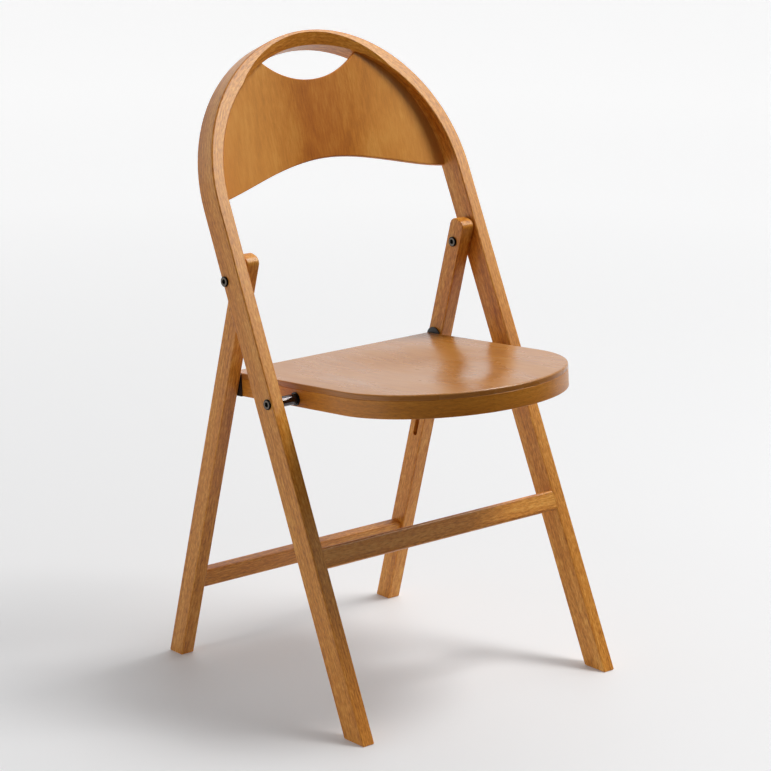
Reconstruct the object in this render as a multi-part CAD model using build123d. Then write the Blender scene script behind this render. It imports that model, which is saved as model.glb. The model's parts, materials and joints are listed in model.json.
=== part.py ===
from build123d import *
from math import acos, atan2, cos, hypot, pi, radians, sin
import os

# ---- driving dimensions, mm and degrees; chair faces -Y, floor at Z = 0 ----
LEAN = 25.0                 # hoop leans back from upright
REAR_LEAN = 14.3            # rear legs rake back towards the floor
FRONT_FOOT_Y = -189.3       # front edge of the hoop's feet on the floor

HOOP_DEPTH = 33.0
HOOP_THICK = 18.0
FOOT_HALF_WIDTH = 211.1
ARCH_RADIUS = 205.7         # outer radius of the bent top
ARCH_CENTRE = 676.4         # from the floor, measured along the hoop
BEVEL_RADIUS = 156.3        # hand bevel around the inside of the top
BEVEL_CENTRE = ARCH_CENTRE + 46.3
BEVEL_SPREAD = 1.8          # sideways run of the bevel per mm of depth
BEVEL_DEPTH = 12.0

PANEL_THICK = 5.8
PANEL_TILT = 8.3            # panel stands more upright than the hoop
PANEL_BEND_RADIUS = 2600.0
PANEL_DEPTH = 22.4          # front surface behind the hoop's face, at PANEL_LEVEL
PANEL_LEVEL = 758.0
PANEL_GROOVE = 4.0
PANEL_LOW = ((-192.0, 680.0), (-150.0, 690.5), (-95.0, 706.4), (0.0, 721.6),
             (95.0, 708.4), (140.0, 697.6), (192.0, 688.0))     # hand-cut lower edge
GRIP_DROP = 821.2           # lowest point of the hand hole
GRIP_RADIUS = 119.4

REAR_DEPTH = 25.0
REAR_THICK = 19.4
REAR_TOP_RADIUS = 9.5
REAR_OUTER = 186.3          # outer faces of the rear legs
REAR_TOP = 31.0             # rounded leg top above the upper pivot

UPPER_PIVOT = (587.0, 27.5)     # along the hoop, behind its front face
SEAT_PIVOT = (426.9, 8.2)

STRETCHER_HEIGHT = 25.6
STRETCHER_THICK = 13.3
FRONT_STRETCHER_AT = 230.0      # along the hoop
REAR_STRETCHER_AT = 105.3       # along the rear legs
TENON = (12.0, 7.0, 16.0)

SEAT_TILT = 5.1
SEAT_HALF_WIDTH = 164.5
SEAT_REAR = 127.9               # seat outline measured from the seat pivot
SEAT_STRAIGHT = -87.0           # half an ellipse in front of this line
SEAT_FRONT = -227.7
SEAT_TOP = 19.45
SEAT_PLY = 7.0
RIM_HEIGHT = 22.2
RIM_WIDTH = 20.0
DISH_RADIUS = 138.0             # soft round hollow
DISH_DEPTH = 6.5
DISH_CENTRE = -42.0

GUIDE_PIN = (117.8, 14.6)       # from the seat pivot, in the seat's own frame
GUIDE_RADIUS = 12.4
GUIDE_THICK = 1.4
STUD_DIAMETER = 6.4
STUD_PROUD = 0.6
SLOT = (252.0, 398.0)           # ends of the guide slot along the rear leg
SLOT_WIDTH = 7.2
SLOT_DEPTH = 9.0

HEAD_DIAMETER = 13.0
HEAD_HEIGHT = 2.2
HEX_SOCKET = 6.0
SLEEVE_DIAMETER = 8.0
BOLT_DIAMETER = 5.0
SEAT_BOLT_DIAMETER = 6.0
SPACER_DIAMETER = 13.0
COLLAR_FLANGE = (17.0, 1.2)
COLLAR_BARREL = (13.0, 5.0)
INSERT = (10.0, 16.0)

RUNNING = 0.06                  # radial play of a turning fit
GAP = 0.3                       # side play between moving pieces
EDGE = 1.7                      # rounding of the long wooden edges


# ---- frames ----
HOOP = Location((0, FRONT_FOOT_Y, 0), (-LEAN, 0, 0))


def on_hoop(along, depth):
    """Point on the middle plane, given along the hoop and behind its face."""
    return (HOOP * Location((0, depth, along))).position


PIVOT = on_hoop(*UPPER_PIVOT)
SEAT_AXIS = on_hoop(*SEAT_PIVOT)
SEAT = Location(SEAT_AXIS, (-SEAT_TILT, 0, 0))
REAR_UP = Vector(0, -sin(radians(REAR_LEAN)), cos(radians(REAR_LEAN)))
REAR_BACK = Vector(0, cos(radians(REAR_LEAN)), sin(radians(REAR_LEAN)))
PIVOT_ALONG = (PIVOT.Z - REAR_DEPTH / 2 * REAR_BACK.Z) / REAR_UP.Z
REAR_FOOT_Y = (PIVOT - REAR_UP * PIVOT_ALONG - REAR_BACK * (REAR_DEPTH / 2)).Y
REAR = Location((0, REAR_FOOT_Y, 0), (REAR_LEAN, 0, 0))
REAR_INNER = REAR_OUTER - REAR_THICK
SPLAY = acos(ARCH_RADIUS / hypot(FOOT_HALF_WIDTH, ARCH_CENTRE)) - atan2(ARCH_CENTRE, FOOT_HALF_WIDTH)
ALONG_X = Rotation(0, 90, 0)


def hoop_half_width(along):
    return FOOT_HALF_WIDTH - along * sin(SPLAY) / cos(SPLAY)


def tube(x0, x1, outer, inner=0.0):
    """Round bar or tube lying along X between two stations."""
    bar = Pos((x0 + x1) / 2, 0, 0) * ALONG_X * Cylinder(outer / 2, abs(x1 - x0))
    if inner:
        bar -= Pos((x0 + x1) / 2, 0, 0) * ALONG_X * Cylinder(inner / 2, abs(x1 - x0) + 1)
    return bar


def both_sides(shape):
    return Compound(children=[shape, mirror(shape, Plane.YZ)])


def above_floor(shape):
    return shape - Pos(0, 0, -50) * Box(900, 900, 100)


def soften_feet(shape, size):
    soles = shape.faces().filter_by(lambda face: abs(face.center().Z) < 0.01)
    return chamfer(soles.edges(), size)


# ---- hoop, back panel, front stretcher ----
def hoop_face(inset, start=-40.0):
    """Legs and semicircular top as one upright face, pulled in by inset."""
    radius = ARCH_RADIUS - inset
    tx, tz = radius * cos(SPLAY), ARCH_CENTRE + radius * sin(SPLAY)
    foot = tx + (tz - start) * sin(SPLAY) / cos(SPLAY)
    side = Line((foot, start), (tx, tz))
    arch = ThreePointArc((tx, tz), (0, ARCH_CENTRE + radius), (-tx, tz))
    other = Line((-tx, tz), (-foot, start))
    return Plane.XZ * make_face(side + arch + other + Line((-foot, start), (foot, start)))


def hoop_blank():
    ring = hoop_face(0) - hoop_face(HOOP_THICK)
    blank = extrude(ring, HOOP_DEPTH, dir=(0, 1, 0))
    long_edges = blank.edges().filter_by(lambda e: abs(e.center().Z + 40) > 1).filter_by(
        lambda e: e.length > 60)
    return fillet(long_edges, EDGE)


def top_bevel():
    front = 2.0
    wide = BEVEL_RADIUS + front * BEVEL_SPREAD
    narrow = BEVEL_RADIUS - BEVEL_DEPTH * BEVEL_SPREAD
    cone = Cone(wide, narrow, BEVEL_DEPTH + front)
    return Pos(0, (BEVEL_DEPTH - front) / 2, BEVEL_CENTRE) * Rotation(-90, 0, 0) * cone


def panel_outline():
    """Front view of the panel: under the arch, curved below, open at the hand hole."""
    points = [Vector(x, z) for x, z in PANEL_LOW]
    low = Spline(*points, tangents=[(1, 0.25), (1, -0.12)])
    top = ARCH_CENTRE + ARCH_RADIUS
    side = points[-1].X
    frame = low + Polyline(points[-1], (side, top), (-side, top), points[0])
    area = make_face(frame) & (Pos(0, ARCH_CENTRE) * Circle(ARCH_RADIUS - HOOP_THICK + PANEL_GROOVE))
    return area - Pos(0, GRIP_DROP + GRIP_RADIUS) * Circle(GRIP_RADIUS)


def panel_blank():
    """Bent sheet, hollow towards the sitter, in the hoop's frame."""
    bend = Cylinder(PANEL_BEND_RADIUS + PANEL_THICK, 400) - Cylinder(PANEL_BEND_RADIUS, 401)
    sheet = Pos(0, -PANEL_BEND_RADIUS, 0) * bend & Box(420, 120, 400)
    return Pos(0, PANEL_DEPTH, PANEL_LEVEL) * Rotation(PANEL_TILT, 0, 0) * sheet


def back_panel():
    column = extrude(Plane.XZ * panel_outline(), 90, dir=(0, 1, 0))
    panel = panel_blank() & Pos(0, -20, 0) * column
    rims = panel.edges().filter_by(lambda e: abs(e.center().X) < 5 and e.length > 90)
    return fillet(rims, 1.2)


def stretcher(half_length, y0):
    bar = Pos(0, y0 + STRETCHER_THICK / 2, 0) * Box(2 * half_length, STRETCHER_THICK, STRETCHER_HEIGHT)
    return fillet(bar.edges().filter_by(Axis.X), 3.0)


def tenons(half_length, y0):
    reach, thick, height = TENON
    return Pos(0, y0 + STRETCHER_THICK / 2, 0) * Box(2 * (half_length + reach), thick, height)


def front_stretcher(blank):
    at = Pos(0, 0, FRONT_STRETCHER_AT)
    half = hoop_half_width(FRONT_STRETCHER_AT) - HOOP_THICK
    bar = at * stretcher(half + 1, EDGE / 4)
    return (bar - blank) + at * tenons(half, EDGE / 4)


def hoop_holes():
    """Pivot holes through both legs."""
    holes = []
    for (along, depth), bore in ((UPPER_PIVOT, SLEEVE_DIAMETER), (SEAT_PIVOT, SEAT_BOLT_DIAMETER)):
        outer = hoop_half_width(along)
        hole = tube(outer - 30, outer - 6, bore) + tube(outer - 7, outer + 5, min(bore, SEAT_BOLT_DIAMETER))
        holes.append(both_sides(Pos(0, depth, along) * hole))
    return holes


def hoop_frame(blank, panel, bar):
    hoop = blank - top_bevel() - panel - bar
    for hole in hoop_holes():
        hoop -= hole
    return soften_feet(above_floor(HOOP * hoop), 1.2)


# ---- rear frame ----
def rear_leg():
    """Right-hand leg: rounded top, guide slot in the inner face, pivot hole."""
    length = PIVOT_ALONG + REAR_TOP + 40
    profile = Pos(REAR_DEPTH / 2, length / 2 - 40) * RectangleRounded(REAR_DEPTH, length, REAR_TOP_RADIUS)
    leg = Pos(REAR_INNER, 0, 0) * extrude(Plane.YZ * profile, REAR_THICK)
    leg = fillet(leg.faces().sort_by(Axis.X)[0].edges() + leg.faces().sort_by(Axis.X)[-1].edges(), EDGE - 0.2)
    span = SLOT[1] - SLOT[0]
    slot = Pos(REAR_DEPTH / 2, (SLOT[0] + SLOT[1]) / 2) * Rot(0, 0, 90) * SlotCenterToCenter(span, SLOT_WIDTH)
    leg -= Pos(REAR_INNER - 1, 0, 0) * extrude(Plane.YZ * slot, SLOT_DEPTH + 1)
    bore = tube(REAR_INNER - 5, REAR_OUTER + 5, SLEEVE_DIAMETER + 2 * RUNNING)
    return leg - Pos(0, REAR_DEPTH / 2, PIVOT_ALONG) * bore


def rear_stretcher():
    at = Pos(0, 0, REAR_STRETCHER_AT)
    inset = (REAR_DEPTH - STRETCHER_THICK) / 2
    return at * (stretcher(REAR_INNER, inset) + tenons(REAR_INNER, inset))


# ---- pivots ----
def socket_head(x, outward):
    """Low round head with a hex socket; x is the seat of the head."""
    head = tube(x, x + outward * HEAD_HEIGHT, HEAD_DIAMETER)
    face = head.faces().sort_by(Axis.X)[-1 if outward > 0 else 0]
    head = fillet(face.edges(), 0.9)
    key = extrude(Plane.YZ * RegularPolygon(HEX_SOCKET / 2, 6, major_radius=False), 1.7)
    deep = x + HEAD_HEIGHT - 1.6 if outward > 0 else x - HEAD_HEIGHT - 0.1
    return head - Pos(deep, 0, 0) * key


def upper_bolt():
    outer = hoop_half_width(UPPER_PIVOT[0]) + 0.05
    return socket_head(outer, 1) + tube(outer + 0.2, outer - 16, BOLT_DIAMETER)


def upper_sleeve():
    inner = REAR_INNER - GAP
    outer = hoop_half_width(UPPER_PIVOT[0]) - 6
    barrel = tube(inner, outer, SLEEVE_DIAMETER)
    bolt_end = hoop_half_width(UPPER_PIVOT[0]) - 16
    return socket_head(inner, -1) + barrel - tube(bolt_end, outer + 1, BOLT_DIAMETER)


def upper_washer():
    inner = hoop_half_width(UPPER_PIVOT[0]) - HOOP_THICK
    return tube(REAR_OUTER + GAP, inner - 0.05, 16, SLEEVE_DIAMETER)


def seat_bolt():
    outer = hoop_half_width(SEAT_PIVOT[0]) + 0.05
    return socket_head(outer, 1) + tube(outer + 0.2, SEAT_HALF_WIDTH - 14, SEAT_BOLT_DIAMETER)


def spacer():
    """Polished tube that holds the seat off the hoop leg."""
    inner = hoop_half_width(SEAT_PIVOT[0]) - HOOP_THICK - 0.1
    body = tube(SEAT_HALF_WIDTH + COLLAR_BARREL[1] + GAP, inner, SPACER_DIAMETER)
    body = fillet(body.edges().filter_by(GeomType.CIRCLE), 0.7)
    return body - tube(SEAT_HALF_WIDTH, inner + 5, SEAT_BOLT_DIAMETER)


def collar():
    flange = tube(SEAT_HALF_WIDTH, SEAT_HALF_WIDTH + COLLAR_FLANGE[1], COLLAR_FLANGE[0])
    barrel = tube(SEAT_HALF_WIDTH, SEAT_HALF_WIDTH + COLLAR_BARREL[1], COLLAR_BARREL[0])
    barrel = fillet(barrel.edges().filter_by(GeomType.CIRCLE).sort_by(Axis.X)[-1:], 0.6)
    bore = tube(SEAT_HALF_WIDTH - 1, SEAT_HALF_WIDTH + 9, SEAT_BOLT_DIAMETER + 2 * RUNNING)
    return flange + barrel - bore


def insert():
    x0 = SEAT_HALF_WIDTH - INSERT[1]
    return tube(x0, SEAT_HALF_WIDTH, INSERT[0]) - tube(x0 + 1, SEAT_HALF_WIDTH + 1, SEAT_BOLT_DIAMETER + 2 * RUNNING)


# ---- seat, in its own frame: origin on the seat pivot, Z out of the seat ----
def seat_outline(inset=0.0):
    width = SEAT_HALF_WIDTH - inset
    front = SEAT_STRAIGHT - SEAT_FRONT - inset
    rear = SEAT_REAR - inset
    body = Pos(0, (rear + SEAT_STRAIGHT) / 2) * Rectangle(2 * width, rear - SEAT_STRAIGHT)
    bow = Pos(0, SEAT_STRAIGHT) * Ellipse(width, front)
    return body + (bow & Pos(0, SEAT_STRAIGHT - front / 2) * Rectangle(2 * width + 1, front + 1))


def hollow(level):
    """Body of revolution below a level, with a soft edge and a rounded bottom."""
    steps = [step / 6 for step in range(7)]
    curve = [(DISH_RADIUS * f, -DISH_DEPTH / 2 * (1 + cos(pi * f))) for f in steps]
    profile = Spline(*curve, tangents=[(1, 0), (1, 0)]) + Line(curve[-1], (0, 0)) + Line((0, 0), curve[0])
    return Pos(0, DISH_CENTRE, level) * revolve(Plane.XZ * make_face(profile), Axis.Z)


def seat_panel():
    """Moulded top, dished in the middle, the hollow carried through below."""
    under = SEAT_TOP - SEAT_PLY
    plate = Pos(0, 0, under) * extrude(seat_outline(), SEAT_PLY)
    plate = fillet(plate.faces().sort_by(Axis.Z)[-1].edges(), 2.2)
    plate = fillet(plate.faces().sort_by(Axis.Z)[0].edges(), 0.7)
    return plate + hollow(under) - hollow(SEAT_TOP)


def seat_band():
    ring = seat_outline() - seat_outline(RIM_WIDTH)
    band = Pos(0, 0, SEAT_TOP - SEAT_PLY - RIM_HEIGHT) * extrude(ring, RIM_HEIGHT)
    rims = band.faces().sort_by(Axis.Z)[0].edges() + band.faces().sort_by(Axis.Z)[-1].edges()
    return fillet(rims, 0.9)


def rear_rail_zone():
    width = 2 * (SEAT_HALF_WIDTH - RIM_WIDTH)
    return Pos(0, SEAT_REAR - RIM_WIDTH / 2, 0) * Box(width, RIM_WIDTH + 4, 80)


def seat_rim(band):
    rim = band - rear_rail_zone()
    return rim - both_sides(tube(SEAT_HALF_WIDTH - INSERT[1], SEAT_HALF_WIDTH + 1, INSERT[0]))


def seat_rear_rail(band):
    return band & rear_rail_zone()


def guide_plate():
    """Side plate at a rear corner, round above the seat, carrying the stud."""
    y, z = GUIDE_PIN
    low = SEAT_TOP - SEAT_PLY - RIM_HEIGHT
    shape = Pos(y, z) * Circle(GUIDE_RADIUS) + Pos(y, (z + low) / 2) * Rectangle(2 * GUIDE_RADIUS, z - low)
    plate = Pos(SEAT_HALF_WIDTH, 0, 0) * extrude(Plane.YZ * shape, GUIDE_THICK)
    return plate - Pos(0, y, z) * tube(SEAT_HALF_WIDTH - 1, SEAT_HALF_WIDTH + 5, STUD_DIAMETER - 2)


def guide_stud():
    """Riveted stud facing the slot of the rear leg."""
    y, z = GUIDE_PIN
    neck = tube(SEAT_HALF_WIDTH, SEAT_HALF_WIDTH + GUIDE_THICK, STUD_DIAMETER - 2)
    outer = SEAT_HALF_WIDTH + GUIDE_THICK
    return Pos(0, y, z) * (neck + tube(outer, outer + STUD_PROUD, STUD_DIAMETER))


def save(name, shape):
    export_step(shape, f"parts/{name}.step")


def main():
    os.makedirs("parts", exist_ok=True)

    blank, panel = hoop_blank(), back_panel()
    bar = front_stretcher(blank)
    save("hoop_frame", hoop_frame(blank, panel, bar))
    save("back_panel", HOOP * panel)
    save("front_stretcher", HOOP * bar)

    cross = rear_stretcher()
    leg = rear_leg() - cross
    for side, shape in (("right", leg), ("left", mirror(leg, Plane.YZ))):
        save(f"rear_leg_{side}", soften_feet(above_floor(REAR * shape), 0.9))
    save("rear_stretcher", REAR * cross)

    band = seat_band()
    save("seat_panel", SEAT * seat_panel())
    save("seat_rim", SEAT * seat_rim(band))
    save("seat_rear_rail", SEAT * seat_rear_rail(band))

    upper, lower = Location(PIVOT), Location(SEAT_AXIS)
    save("upper_pivot_bolts", upper * both_sides(upper_bolt()))
    save("upper_pivot_sleeves", upper * both_sides(upper_sleeve()))
    save("upper_pivot_washers", upper * both_sides(upper_washer()))
    save("seat_pivot_bolts", lower * both_sides(seat_bolt()))
    save("seat_pivot_inserts", lower * both_sides(insert()))

    for side, flip in (("right", False), ("left", True)):
        for name, frame, shape in (
            ("seat_spacer", lower, spacer()),
            ("seat_collar", lower, collar()),
            ("guide_plate", SEAT, guide_plate()),
            ("guide_stud", SEAT, guide_stud()),
        ):
            save(f"{name}_{side}", frame * (mirror(shape, Plane.YZ) if flip else shape))


main()
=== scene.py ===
import bpy
import json
from math import cos, pi, radians, sin
from mathutils import Matrix, Vector

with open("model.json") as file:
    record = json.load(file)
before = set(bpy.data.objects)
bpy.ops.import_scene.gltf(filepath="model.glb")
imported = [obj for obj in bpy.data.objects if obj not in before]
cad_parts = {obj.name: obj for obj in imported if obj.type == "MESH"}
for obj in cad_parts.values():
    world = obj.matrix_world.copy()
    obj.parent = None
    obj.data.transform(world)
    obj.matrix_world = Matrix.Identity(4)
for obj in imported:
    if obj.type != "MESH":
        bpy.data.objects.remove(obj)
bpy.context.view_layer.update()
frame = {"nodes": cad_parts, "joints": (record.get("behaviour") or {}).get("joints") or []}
NODES = frame["nodes"]
JOINTS = {joint["name"]: joint for joint in frame["joints"]}

# ---- leans and bend of the chair, as designed; pivots from the frame ----
HOOP_LEAN = radians(25.0)
REAR_LEAN = radians(14.3)
SEAT_TILT = radians(5.1)
ARCH_RADIUS = 0.2057
ARCH_CENTRE = 0.6764
FRONT_FOOT = Vector((0, -0.1893, 0))
SEAT_AXIS = Vector(JOINTS["seat_fold"]["pos_m"])
PIVOT = Vector(JOINTS["rear_fold"]["pos_m"])
RIM_BEND_START = 0.072          # in front of the seat pivot
RIM_BEND_RADIUS = 0.160

# ---- grain, and the painted highlight ring on the screw heads, metres ----
RING_SPACING = 0.0036
PLY_SPACING = 0.0028
SOCKET_EDGE = (0.0030, 0.0034)  # from dark socket to painted highlight ring
HEAD_EDGE = (0.0050, 0.0056)    # from painted highlight ring to dark rim

# ---- lacquered beech: linear colours ----
DEEP = (0.34, 0.098, 0.008)
BODY = (0.63, 0.242, 0.026)
PALE = (0.83, 0.43, 0.085)
TAWNY = (0.68, 0.215, 0.022)     # slow change of tone along a member


class Tree:
    """Short way to write a shader node tree."""

    def __init__(self, material):
        material.use_nodes = True
        self.tree = material.node_tree
        self.tree.nodes.clear()

    def add(self, kind, *inputs, **settings):
        node = self.tree.nodes.new("ShaderNode" + kind)
        for key, value in settings.items():
            setattr(node, key, value)
        for key, value in inputs:
            self.put(node.inputs[key], value)
        return node

    def put(self, socket, value):
        if isinstance(value, bpy.types.NodeSocket):
            self.tree.links.new(value, socket)
        else:
            socket.default_value = value

    def math(self, operation, *values, clamp=False):
        node = self.add("Math", *enumerate(values), operation=operation, use_clamp=clamp)
        return node.outputs[0]

    def vmath(self, operation, *values):
        return self.add("VectorMath", *enumerate(values), operation=operation).outputs[0]

    def combine(self, x, y, z):
        return self.add("CombineXYZ", (0, x), (1, y), (2, z)).outputs[0]

    def separate(self, vector):
        return self.add("SeparateXYZ", (0, vector)).outputs

    def noise(self, vector, scale=1.0, detail=2.0, rough=0.5, distortion=0.0):
        node = self.add("TexNoise", ("Vector", vector), ("Scale", scale), ("Detail", detail),
                        ("Roughness", rough), ("Distortion", distortion))
        return node.outputs["Fac"]

    def ramp(self, value, *stops):
        node = self.add("ValToRGB", (0, value))
        while len(node.color_ramp.elements) < len(stops):
            node.color_ramp.elements.new(0.5)
        for element, (place, colour) in zip(node.color_ramp.elements, stops):
            element.position = place
            element.color = (*colour, 1) if len(colour) == 3 else colour
        return node.outputs[0]

    def spread(self, value, low, high, to_low=0.0, to_high=1.0):
        node = self.add("MapRange", ("Value", value), ("From Min", low), ("From Max", high),
                        ("To Min", to_low), ("To Max", to_high))
        return node.outputs[0]

    def blend(self, factor, first, second, mode="MIX"):
        node = self.add("Mix", data_type="RGBA", blend_type=mode)
        for place, value in ((0, factor), (6, first), (7, second)):
            if isinstance(value, tuple) and len(value) == 3:
                value = (*value, 1)
            self.put(node.inputs[place], value)
        return node.outputs[2]

    def finish(self, colour, roughness, height, bump=0.1, distance=0.0004, **fixed):
        shader = self.add("BsdfPrincipled", ("Base Color", colour), ("Roughness", roughness))
        for key, value in fixed.items():
            shader.inputs[key.replace("_", " ")].default_value = value
        if height is not None:
            dent = self.add("Bump", ("Strength", bump), ("Distance", distance), ("Height", height))
            self.put(shader.inputs["Normal"], dent.outputs[0])
        self.add("OutputMaterial", (0, shader.outputs[0]))
        return shader


def object_place(t):
    return t.add("TexCoord").outputs["Object"]


# ---- grain coordinates: x and y across the member, z along it, metres ----
def grain_straight(t, angle, foot=(0, 0, 0)):
    """Member leaning by angle in the side plane."""
    node = t.add("Mapping", ("Vector", object_place(t)), ("Rotation", (angle, 0, 0)))
    return t.vmath("SUBTRACT", node.outputs[0], foot)


def grain_across(t, angle):
    """Rail lying along X."""
    node = t.add("Mapping", ("Vector", object_place(t)), ("Rotation", (angle, 0, 0)))
    x, y, z = t.separate(node.outputs[0])
    return t.combine(y, z, x)


def bent_grain(t, x, along, depth, centre, radius):
    """Grain that follows two straight legs and the bend between them."""
    over = t.math("MAXIMUM", t.math("SUBTRACT", along, centre), 0.0)
    side = t.math("ABSOLUTE", x)
    across = t.math("SQRT", t.math("ADD", t.math("MULTIPLY", side, side), t.math("MULTIPLY", over, over)))
    turn = t.math("MULTIPLY", t.math("ARCTAN2", over, side), radius)
    length = t.math("ADD", t.math("MINIMUM", along, centre), turn)
    whole = 2 * centre + pi * radius
    other = t.math("SUBTRACT", whole, length)
    right = t.math("GREATER_THAN", x, 0.0)
    left_part = t.math("MULTIPLY", other, t.math("SUBTRACT", 1.0, right))
    signed = t.math("ADD", t.math("MULTIPLY", length, right), left_part)
    return t.combine(across, depth, signed)


def grain_hoop(t):
    turned = t.add("Mapping", ("Vector", t.vmath("SUBTRACT", object_place(t), tuple(FRONT_FOOT))),
                   ("Rotation", (HOOP_LEAN, 0, 0)))
    x, y, z = t.separate(turned.outputs[0])
    return bent_grain(t, x, z, y, ARCH_CENTRE, ARCH_RADIUS)


def grain_rim(t):
    turned = t.add("Mapping", ("Vector", t.vmath("SUBTRACT", object_place(t), tuple(SEAT_AXIS))),
                   ("Rotation", (SEAT_TILT, 0, 0)))
    x, y, z = t.separate(turned.outputs[0])
    return bent_grain(t, x, t.math("MULTIPLY", y, -1.0), z, RIM_BEND_START, RIM_BEND_RADIUS)


# ---- wood ----
def solid_beech(t, grain, seed, contrast=1.0, tone=0.0, deep=DEEP, body=BODY, pale=PALE):
    """Colour, roughness and height of straight-grained beech."""
    here = t.vmath("ADD", grain, (seed * 1.7, seed * 0.9, seed * 2.3))
    x, y, z = t.separate(here)
    drift = t.noise(t.vmath("MULTIPLY", here, (14, 14, 2.2)), 1.0, 2.0)
    cx = t.math("ADD", t.math("SUBTRACT", x, seed * 1.7 + 0.12), t.math("MULTIPLY", drift, 0.045))
    cy = t.math("ADD", t.math("SUBTRACT", y, seed * 0.9 - 0.035), t.math("MULTIPLY", drift, 0.02))
    radius = t.math("SQRT", t.math("ADD", t.math("MULTIPLY", cx, cx), t.math("MULTIPLY", cy, cy)))
    ring = t.math("SINE", t.math("MULTIPLY", radius, 2 * pi / RING_SPACING))
    broad = t.noise(t.vmath("MULTIPLY", here, (70, 70, 3.2)), 1.0, 3.0, 0.55, 0.3)
    fibre = t.noise(t.vmath("MULTIPLY", here, (520, 520, 110)), 1.0, 3.0, 0.65)
    fleck = t.noise(t.vmath("MULTIPLY", here, (1100, 1100, 170)), 1.0, 1.0, 0.5)
    fleck = t.spread(fleck, 0.58, 0.72)
    wide, fine = 0.30 * contrast, 0.40 * contrast
    value = t.math("ADD", t.spread(broad, 0.25, 0.75, 0.5 - wide, 0.5 + wide),
                   t.math("MULTIPLY", ring, 0.08 * contrast))
    value = t.math("ADD", value, t.spread(fibre, 0.3, 0.7, -fine, fine))
    value = t.math("ADD", value, tone, clamp=True)
    colour = t.ramp(value, (0.0, deep), (0.5, body), (1.0, pale))
    colour = t.blend(t.math("MULTIPLY", fleck, 0.38), colour, tuple(c * 0.45 for c in deep))
    slow = t.noise(t.vmath("MULTIPLY", here, (9, 9, 3)), 1.0, 1.0)
    colour = t.blend(t.spread(slow, 0.3, 0.7, 0.0, 0.3), colour, TAWNY)
    rough = t.spread(t.math("ADD", fibre, t.math("MULTIPLY", fleck, 0.3)), 0.3, 0.9, 0.34, 0.50)
    height = t.math("SUBTRACT", t.math("MULTIPLY", fibre, 0.5), fleck)
    return colour, rough, height


def veneer(t, grain, seed, deep=DEEP, body=BODY, pale=PALE, mottle=1.0):
    """Rotary-cut face: wide slow figure, fine fibre, cloudy lustre."""
    here = t.vmath("ADD", grain, (seed, seed * 0.7, seed * 1.3))
    field = t.noise(t.vmath("MULTIPLY", here, (7.5, 7.5, 2.2)), 1.0, 2.0, 0.45, 0.6)
    lines = t.math("SINE", t.math("MULTIPLY", field, 120.0))
    cloud = t.noise(t.vmath("MULTIPLY", here, (22, 22, 9)), 1.0, 3.0, 0.6, 0.5)
    fibre = t.noise(t.vmath("MULTIPLY", here, (420, 420, 16)), 1.0, 3.0, 0.6)
    fleck = t.spread(t.noise(t.vmath("MULTIPLY", here, (1500, 1500, 260)), 1.0, 1.0), 0.62, 0.74)
    value = t.math("ADD", t.spread(cloud, 0.25, 0.75, 0.5 - 0.2 * mottle, 0.5 + 0.2 * mottle),
                   t.math("MULTIPLY", lines, 0.045 * mottle))
    value = t.math("ADD", value, t.spread(fibre, 0.3, 0.7, -0.15, 0.15), clamp=True)
    colour = t.ramp(value, (0.0, deep), (0.5, body), (1.0, pale))
    colour = t.blend(t.math("MULTIPLY", fleck, 0.25), colour, tuple(c * 0.5 for c in deep))
    rough = t.spread(cloud, 0.3, 0.7, 0.30, 0.42)
    height = t.math("SUBTRACT", t.math("MULTIPLY", fibre, 0.5), fleck)
    return colour, rough, height


def new_material(name):
    material = bpy.data.materials.new(name)
    return material, Tree(material)


def beech_material(name, grain_of, seed, **look):
    material, t = new_material(name)
    colour, rough, height = solid_beech(t, grain_of(t), seed, **look)
    t.finish(colour, rough, height, bump=0.12, Specular_IOR_Level=0.25, Coat_Weight=0.3, Coat_Roughness=0.25)
    return material


def panel_material():
    material, t = new_material("back_plywood_beech")
    grain = grain_straight(t, HOOP_LEAN)
    colour, rough, height = veneer(t, grain, 3.1, mottle=1.2)
    x, y, z = t.separate(grain)
    # Darker band down the middle of the panel, weaker towards its top; the paler sides are painted sheen.
    wave = t.math("MULTIPLY", t.noise(t.vmath("MULTIPLY", grain, (9, 9, 5)), 1.0, 2.0), 0.08)
    off = t.math("ABSOLUTE", t.math("ADD", t.math("SUBTRACT", x, 0.01), t.math("SUBTRACT", wave, 0.04)))
    rise = t.spread(z, 0.70, 0.84, 1.0, 0.35)
    colour = t.blend(t.math("MULTIPLY", t.spread(off, 0.02, 0.12, 0.95, 0.0), rise), colour,
                     (0.74, 0.58, 0.36), "MULTIPLY")
    # painted sheen: the sides of the panel paled
    colour = t.blend(t.spread(off, 0.05, 0.17, 0.0, 0.6), colour, (0.82, 0.37, 0.095))
    t.finish(colour, rough, height, bump=0.06, Coat_Weight=0.0, Specular_IOR_Level=0.15)
    return material


def seat_material():
    material, t = new_material("seat_plywood_beech")
    turned = t.add("Mapping", ("Vector", t.vmath("SUBTRACT", object_place(t), tuple(SEAT_AXIS))),
                   ("Rotation", (SEAT_TILT, 0, 0)))
    x, y, z = t.separate(turned.outputs[0])
    colour, rough, height = veneer(t, t.combine(x, z, y), 7.4, mottle=0.45)
    up = t.separate(t.add("NewGeometry").outputs["Normal"])[2]
    edge = t.spread(up, 0.25, 0.65, 1.0, 0.0)
    ply = t.math("SINE", t.math("MULTIPLY", z, 2 * pi / PLY_SPACING))
    ply = t.spread(ply, -0.2, 0.6, 0.0, 0.35)
    side = t.blend(ply, (0.46, 0.175, 0.035), (0.34, 0.120, 0.024))
    colour = t.blend(edge, t.blend(1.0, colour, (0.68, 0.70, 1.1), "MULTIPLY"), side)
    rough = t.math("MULTIPLY", rough, 0.78)
    t.finish(colour, rough, height, bump=0.03, Specular_IOR_Level=0.42, Coat_Weight=0.1, Coat_Roughness=0.2)
    return material


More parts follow.
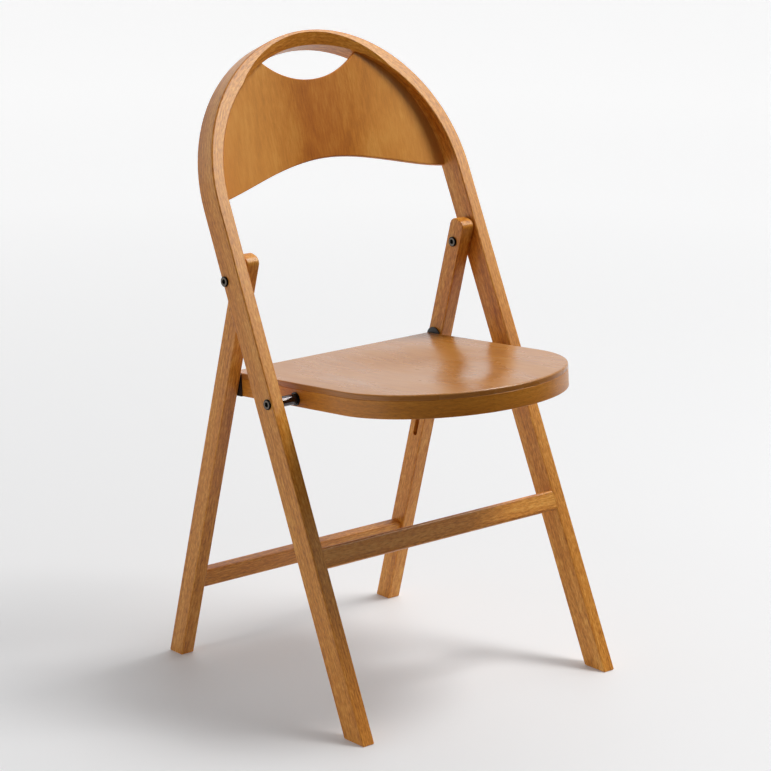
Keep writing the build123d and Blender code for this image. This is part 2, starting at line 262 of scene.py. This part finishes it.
def metal_material(name, colour, metallic, rough, coat=0.0):
    material, t = new_material(name)
    here = object_place(t)
    smudge = t.noise(t.vmath("MULTIPLY", here, (300, 300, 300)), 1.0, 3.0, 0.6)
    paler = tuple(min(1, c * 1.7 + 0.006) for c in colour)
    tint = t.blend(t.spread(smudge, 0.3, 0.7, 0.0, 0.4), colour, paler)
    t.finish(tint, t.spread(smudge, 0.3, 0.7, rough * 0.8, rough * 1.3), smudge, bump=0.03,
             Metallic=metallic, Coat_Weight=coat)
    return material


def screw_material(name, axis):
    """Black oxide screw, dark at the rim and in the socket, with a painted highlight ring on the flat of the
    head.
    """
    material, t = new_material(name)
    here = t.vmath("SUBTRACT", object_place(t), tuple(axis))
    x, y, z = t.separate(here)
    out = t.math("SQRT", t.math("ADD", t.math("MULTIPLY", y, y), t.math("MULTIPLY", z, z)))
    smudge = t.noise(t.vmath("MULTIPLY", here, (500, 500, 500)), 1.0, 3.0, 0.6)
    # painted highlight: a bright ring on the flat of the head, between socket and rim, broken up by the
    # smudge noise
    painted_glint = t.math("MULTIPLY", t.spread(out, *HEAD_EDGE, 1.0, 0.0), t.spread(out, *SOCKET_EDGE))
    painted_glint = t.math("MULTIPLY", painted_glint, t.spread(smudge, 0.35, 0.6, 0.7, 1.0))
    # colour of the painted highlight, over the black of the oxide
    colour = t.blend(painted_glint, (0.010, 0.009, 0.008), (0.17, 0.145, 0.12))
    t.finish(colour, t.spread(smudge, 0.3, 0.7, 0.24, 0.38), smudge, bump=0.03, Metallic=1.0)
    return material


def paint(material, *names):
    for name in names:
        mesh = NODES[name].data
        mesh.materials.clear()
        mesh.materials.append(material)


rear_grain = lambda t: grain_straight(t, -REAR_LEAN)
paint(beech_material("hoop_beech", grain_hoop, 1.0), "hoop_frame")
paint(beech_material("left_leg_beech", rear_grain, 2.0), "rear_leg_left")
paint(beech_material("right_leg_beech", rear_grain, 5.0), "rear_leg_right")
paint(beech_material("front_rail_beech", lambda t: grain_across(t, HOOP_LEAN), 3.0), "front_stretcher")
paint(beech_material("rear_rail_beech", lambda t: grain_across(t, -REAR_LEAN), 4.0), "rear_stretcher")
paint(beech_material("rim_beech", grain_rim, 6.0, contrast=0.45, tone=-0.10), "seat_rim")
paint(beech_material("seat_rail_beech", lambda t: grain_across(t, SEAT_TILT), 7.0, tone=-0.12),
      "seat_rear_rail")
paint(panel_material(), "back_panel")
paint(seat_material(), "seat_panel")
paint(screw_material("upper_screws", PIVOT), "upper_pivot_bolts", "upper_pivot_sleeves")
paint(screw_material("seat_screws", SEAT_AXIS), "seat_pivot_bolts")
plate = metal_material("black_plate", (0.010, 0.010, 0.011), 0.0, 0.38)
paint(plate, "guide_plate_left", "guide_plate_right", "guide_stud_left", "guide_stud_right")
paint(metal_material("collar_black", (0.008, 0.008, 0.009), 0.0, 0.18),
      "seat_collar_left", "seat_collar_right")
paint(metal_material("polished_tube", (0.075, 0.068, 0.072), 1.0, 0.16),
      "seat_spacer_left", "seat_spacer_right")
paint(metal_material("plain_steel", (0.4, 0.4, 0.41), 1.0, 0.35),
      "upper_pivot_washers", "seat_pivot_inserts")


# ---- floor, light, camera ----
KEY = (0.404, -0.218, 1.0)
KEY_HEIGHT = 2.4
KEY_COLOUR = (1.0, 0.99, 0.975)
SHEEN_PLACE = (2.2, -2.0, 2.5)
SHEEN_COLOUR = (1.0, 0.95, 0.8)
EYE = (-2.4009, -2.7526, 1.3500)
EYE_TURN, EYE_DOWN, EYE_ROLL = radians(-40.8645), radians(14.121), radians(0.618)
LENS, LENS_SHIFT = 140.84, -0.059


def floor():
    """Pale floor, paler and glowing more far from the chair as painted fill light; the part in front of the
    chair gives no bounce, as past the edge of a studio sheet.
    """
    reach, edge, level = 40.0, -0.55, -0.0002
    sheets = (("floor", edge, reach), ("floor_front", -reach, edge))
    material, t = new_material("pale_floor_painted_glow")
    x, y, z = t.separate(object_place(t))
    far = t.math("SQRT", t.math("ADD", t.math("MULTIPLY", x, x), t.math("MULTIPLY", y, y)))
    # paler far from the chair, painted light that keeps the distant floor white
    colour = t.ramp(t.spread(far, 0.6, 4.5), (0.0, (0.68, 0.685, 0.695)), (1.0, (0.93, 0.93, 0.93)))
    shader = t.finish(colour, 0.6, None, Specular_IOR_Level=0.3)
    # painted fill light: the floor glows, weakly near the chair and more strongly far off
    shader.inputs["Emission Color"].default_value = (0.99, 0.99, 1, 1)
    t.put(shader.inputs["Emission Strength"], t.spread(far, 0.35, 3.0, 0.13, 0.32))
    for name, low, high in sheets:
        mesh = bpy.data.meshes.new(name)
        corners = [(-reach, low, level), (reach, low, level), (reach, high, level), (-reach, high, level)]
        mesh.from_pydata(corners, [], [(0, 1, 2, 3)])
        mesh.materials.append(material)
        ground = bpy.data.objects.new(name, mesh)
        bpy.context.scene.collection.objects.link(ground)
        ground.visible_diffuse = ground.visible_glossy = name == "floor"


def lamp_object(name, lamp, towards, colour):
    lamp.color = colour
    thing = bpy.data.objects.new(name, lamp)
    bpy.context.scene.collection.objects.link(thing)
    thing.rotation_mode = "QUATERNION"
    thing.rotation_quaternion = Vector(towards).to_track_quat("Z", "Y")
    return thing


def soft_box(name, place, aim, width, height, power, colour):
    lamp = bpy.data.lights.new(name, "AREA")
    lamp.energy, lamp.shape, lamp.size, lamp.size_y = power, "RECTANGLE", width, height
    thing = lamp_object(name, lamp, Vector(place) - Vector(aim), colour)
    thing.location = place
    return thing


def sun_light(name, towards, strength, spread, colour):
    lamp = bpy.data.lights.new(name, "SUN")
    lamp.energy, lamp.angle = strength, radians(spread)
    return lamp_object(name, lamp, towards, colour)


def surround():
    """Light from white behind, dim in front and overhead, a bright wall on the right.

    Looked at directly, the surround is plain white, so that no low view shows its shading.
    """
    world = bpy.data.worlds.new("studio")
    bpy.context.scene.world = world
    t = Tree(world)
    x, y, z = t.separate(t.add("TexCoord").outputs["Generated"])

    def soft(value, low, high, to_low, to_high):
        node = t.add("MapRange", ("Value", value), ("From Min", low), ("From Max", high),
                     ("To Min", to_low), ("To Max", to_high), interpolation_type="SMOOTHSTEP")
        return node.outputs[0]

    back = t.math("MULTIPLY", soft(y, -0.7, 0.7, 0.09, 1.0), soft(z, 0.24, 0.42, 1.0, 0.25))
    right = t.math("MULTIPLY", t.math("MAXIMUM", x, 0.0), soft(z, 0.4, 0.7, 0.0, 2.6))
    left = t.math("MAXIMUM", t.math("MULTIPLY", x, -1.0), 0.0)
    left = t.math("MULTIPLY", left, soft(z, 0.0, 0.4, 0.95, 0.0))
    side = t.math("ADD", right, left)
    above = t.spread(z, -0.02, 0.02)
    light = t.math("MULTIPLY", t.math("ADD", back, side), above)
    seen = t.math("MAXIMUM", light, t.add("LightPath").outputs["Is Camera Ray"])
    shine = t.add("Background", (0, (1, 1, 1, 1)), (1, seen))
    t.add("OutputWorld", (0, shine.outputs[0]))


def studio():
    """Key from high on the right, near enough to fall off downwards, and a box seen only as sheen."""
    surround()
    sun_light("key_far", KEY, 0.45, 17.0, KEY_COLOUR)
    above = Vector(KEY) * KEY_HEIGHT + Vector((0, -0.05, 0))
    soft_box("key_near", above, (0, 0, 0.4), 0.7, 0.7, 30, KEY_COLOUR)
    sheen = soft_box("sheen_box", SHEEN_PLACE, (0, 0.1, 0.75), 1.2, 0.8, 50, SHEEN_COLOUR)
    sheen.visible_diffuse = False


def camera():
    turn, down, roll = EYE_TURN, EYE_DOWN, EYE_ROLL
    ahead = Vector((-sin(turn) * cos(down), cos(turn) * cos(down), -sin(down)))
    right = Vector((cos(turn), sin(turn), 0))
    up = right.cross(ahead)
    level = right * cos(roll) + up * sin(roll)
    upright = up * cos(roll) - right * sin(roll)
    lens = bpy.data.cameras.new("camera")
    lens.lens, lens.sensor_width = LENS, 36.0
    lens.shift_y = LENS_SHIFT
    lens.clip_start, lens.clip_end = 0.1, 200
    eye = bpy.data.objects.new("camera", lens)
    bpy.context.scene.collection.objects.link(eye)
    axes = Matrix((level, upright, -ahead)).transposed().to_4x4()
    eye.matrix_world = Matrix.Translation(EYE) @ axes
    bpy.context.scene.camera = eye


floor()
studio()
camera()
bpy.context.scene.view_settings.view_transform = "Standard"
